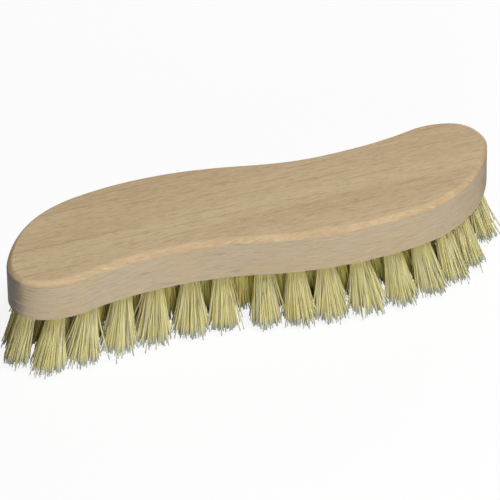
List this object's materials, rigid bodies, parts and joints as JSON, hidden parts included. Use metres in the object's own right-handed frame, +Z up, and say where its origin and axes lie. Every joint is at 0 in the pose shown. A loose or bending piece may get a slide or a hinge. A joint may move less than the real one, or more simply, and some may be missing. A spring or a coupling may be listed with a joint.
{
  "type": "hand brush",
  "caption": "Wooden scrubbing brush with an S-shaped block, softened top edges and fanned tufts of stiff fibre.",
  "frame": {"origin": "middle of the plane that the bristle tips stand on", "axes": "+X along the block's length and grain, +Y across it, +Z up from the tips to the wooden top"},
  "size_m": [0.23, 0.0738, 0.0479],
  "materials": {
    "beech_wood": "untreated beech, planed and sanded, with a softened top edge",
    "bristle_fibre": "stiff straight plant fibre, cream yellow, trimmed to one length"
  },
  "bodies": {
    "root": {"block": "beech_wood", "edge_tuft_front_01": "bristle_fibre", "edge_tuft_front_02": "bristle_fibre", "edge_tuft_front_03": "bristle_fibre", "edge_tuft_front_04": "bristle_fibre", "edge_tuft_front_05": "bristle_fibre", "edge_tuft_front_06": "bristle_fibre", "edge_tuft_front_07": "bristle_fibre", "edge_tuft_front_08": "bristle_fibre", "edge_tuft_front_09": "bristle_fibre", "edge_tuft_front_10": "bristle_fibre", "edge_tuft_front_11": "bristle_fibre", "edge_tuft_front_12": "bristle_fibre", "edge_tuft_front_13": "bristle_fibre", "edge_tuft_front_14": "bristle_fibre", "edge_tuft_front_15": "bristle_fibre", "edge_tuft_front_16": "bristle_fibre", "edge_tuft_back_01": "bristle_fibre", "edge_tuft_back_02": "bristle_fibre", "edge_tuft_back_03": "bristle_fibre", "edge_tuft_back_04": "bristle_fibre", "edge_tuft_back_05": "bristle_fibre", "edge_tuft_back_06": "bristle_fibre", "edge_tuft_back_07": "bristle_fibre", "edge_tuft_back_08": "bristle_fibre", "edge_tuft_back_09": "bristle_fibre", "edge_tuft_back_10": "bristle_fibre", "edge_tuft_back_11": "bristle_fibre", "edge_tuft_back_12": "bristle_fibre", "edge_tuft_back_13": "bristle_fibre", "edge_tuft_back_14": "bristle_fibre", "edge_tuft_back_15": "bristle_fibre", "edge_tuft_back_16": "bristle_fibre", "inner_tuft_front_01": "bristle_fibre", "inner_tuft_front_02": "bristle_fibre", "inner_tuft_front_03": "bristle_fibre", "inner_tuft_front_04": "bristle_fibre", "inner_tuft_front_05": "bristle_fibre", "inner_tuft_front_06": "bristle_fibre", "inner_tuft_front_07": "bristle_fibre", "inner_tuft_front_08": "bristle_fibre", "inner_tuft_front_09": "bristle_fibre", "inner_tuft_front_10": "bristle_fibre", "inner_tuft_front_11": "bristle_fibre", "inner_tuft_front_12": "bristle_fibre", "inner_tuft_back_01": "bristle_fibre", "inner_tuft_back_02": "bristle_fibre", "inner_tuft_back_03": "bristle_fibre", "inner_tuft_back_04": "bristle_fibre", "inner_tuft_back_05": "bristle_fibre", "inner_tuft_back_06": "bristle_fibre", "inner_tuft_back_07": "bristle_fibre", "inner_tuft_back_08": "bristle_fibre", "inner_tuft_back_09": "bristle_fibre", "inner_tuft_back_10": "bristle_fibre", "inner_tuft_back_11": "bristle_fibre", "inner_tuft_back_12": "bristle_fibre"}
  },
  "joints": []
}
